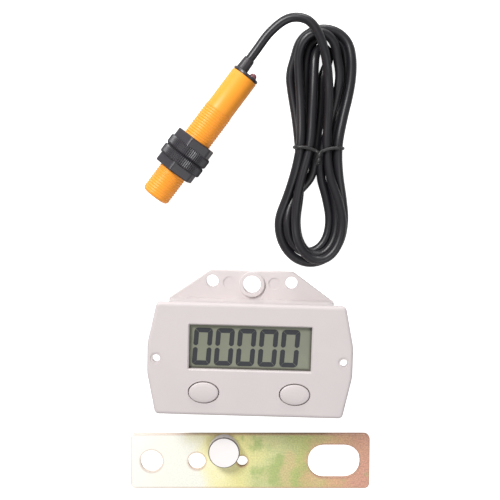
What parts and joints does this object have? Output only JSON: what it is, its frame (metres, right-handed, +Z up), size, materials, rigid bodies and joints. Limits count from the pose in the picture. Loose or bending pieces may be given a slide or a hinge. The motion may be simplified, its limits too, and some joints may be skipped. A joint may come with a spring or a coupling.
{
  "type": "magnetic induction counter",
  "caption": "Totalising panel counter with a five-digit display and push buttons, its threaded magnetic sensor on a tied lead, a slotted mounting bar and a disc magnet",
  "frame": {"origin": "Centre of the counter's flat back face, on the table.", "axes": "+Z up from the table, out of the display. +X to the right across the display, +Y up the display's face, toward the flange and the sensor."},
  "size_m": [0.1025, 0.1997, 0.0231],
  "materials": {
    "case_plastic": "fine moulded texture",
    "black_plastic": "moulded",
    "orange_plastic": "smooth moulded",
    "white_plastic": "moulded",
    "green_plastic": "moulded",
    "black_rubber": "satin",
    "contact_rubber": "matt",
    "display_glass": "anti-glare film",
    "clear_glass": "clear",
    "reflector_film": "diffuse film",
    "laminate": "solder resist",
    "steel": "bright",
    "zinc_plate": "yellow passivated zinc plate",
    "nickel": "nickel plate",
    "cell_wrap": "shrunk sleeve",
    "led_resin": "clear resin"
  },
  "bodies": {
    "counter": {"front_cover": "case_plastic", "rear_housing": "case_plastic", "lcd_front_glass": "display_glass", "lcd_rear_glass": "display_glass", "lcd_reflector": "reflector_film", "contact_strip_upper": "contact_rubber", "contact_strip_lower": "contact_rubber", "lcd_frame": "white_plastic", "pause_switch_body": "steel", "reset_switch_body": "steel", "circuit_board": "laminate", "counter_chip": "black_plastic", "crystal": "steel", "filter_capacitor": "black_plastic", "pull_up_resistor": "black_plastic", "battery_cell": "cell_wrap", "battery_contact_plus": "steel", "battery_contact_minus": "steel", "input_terminal": "green_plastic", "clamp_screw_1": "steel", "clamp_screw_2": "steel", "case_screw_1": "steel", "case_screw_2": "steel", "case_screw_3": "steel", "case_screw_4": "steel", "board_screw_1": "steel", "board_screw_2": "steel", "board_screw_3": "steel"},
    "pause_key": {"pause_button": "case_plastic", "pause_switch_plunger": "black_plastic"},
    "reset_key": {"reset_button": "case_plastic", "reset_switch_plunger": "black_plastic"},
    "sensor": {"sensor_barrel": "orange_plastic", "sensor_end_cap": "black_plastic", "strain_relief": "black_rubber", "indicator_led": "led_resin", "sensor_board": "laminate", "reed_switch": "clear_glass", "series_resistor": "black_plastic", "sensor_lead": "black_rubber", "lead_hank": "black_rubber", "hank_tie": "black_rubber"},
    "front_lock_nut": {"front_nut": "black_plastic"},
    "rear_lock_nut": {"rear_nut": "black_plastic"},
    "bar": {"mounting_bar": "zinc_plate"},
    "loose_magnet": {"magnet": "nickel"}
  },
  "joints": [
    {"name": "pause_press", "type": "slide", "parent": "counter", "child": "pause_key", "axis": [0, 0, -1], "range_m": [0, 0.0005], "stiffness_N_per_m": 800, "springref_m": -0.0004},
    {"name": "reset_press", "type": "slide", "parent": "counter", "child": "reset_key", "axis": [0, 0, -1], "range_m": [0, 0.0005], "stiffness_N_per_m": 800, "springref_m": -0.0004},
    {"name": "sensor_lift", "type": "slide", "parent": "counter", "child": "sensor", "axis": [0, 0, 1], "range_m": [0, 0.03]},
    {"name": "front_nut_travel", "type": "slide", "parent": "sensor", "child": "front_lock_nut", "axis": [0.5845, 0.8114, 0], "range_m": [-0.011, 0]},
    {"name": "rear_nut_travel", "type": "slide", "parent": "sensor", "child": "rear_lock_nut", "axis": [0.5845, 0.8114, 0], "range_m": [0, 0.0145]},
    {"name": "bar_lift", "type": "slide", "parent": "counter", "child": "bar", "axis": [0, 0, 1], "range_m": [0, 0.03]},
    {"name": "magnet_lift", "type": "slide", "parent": "bar", "child": "loose_magnet", "axis": [0, 0, 1], "range_m": [0, 0.02]}
  ]
}
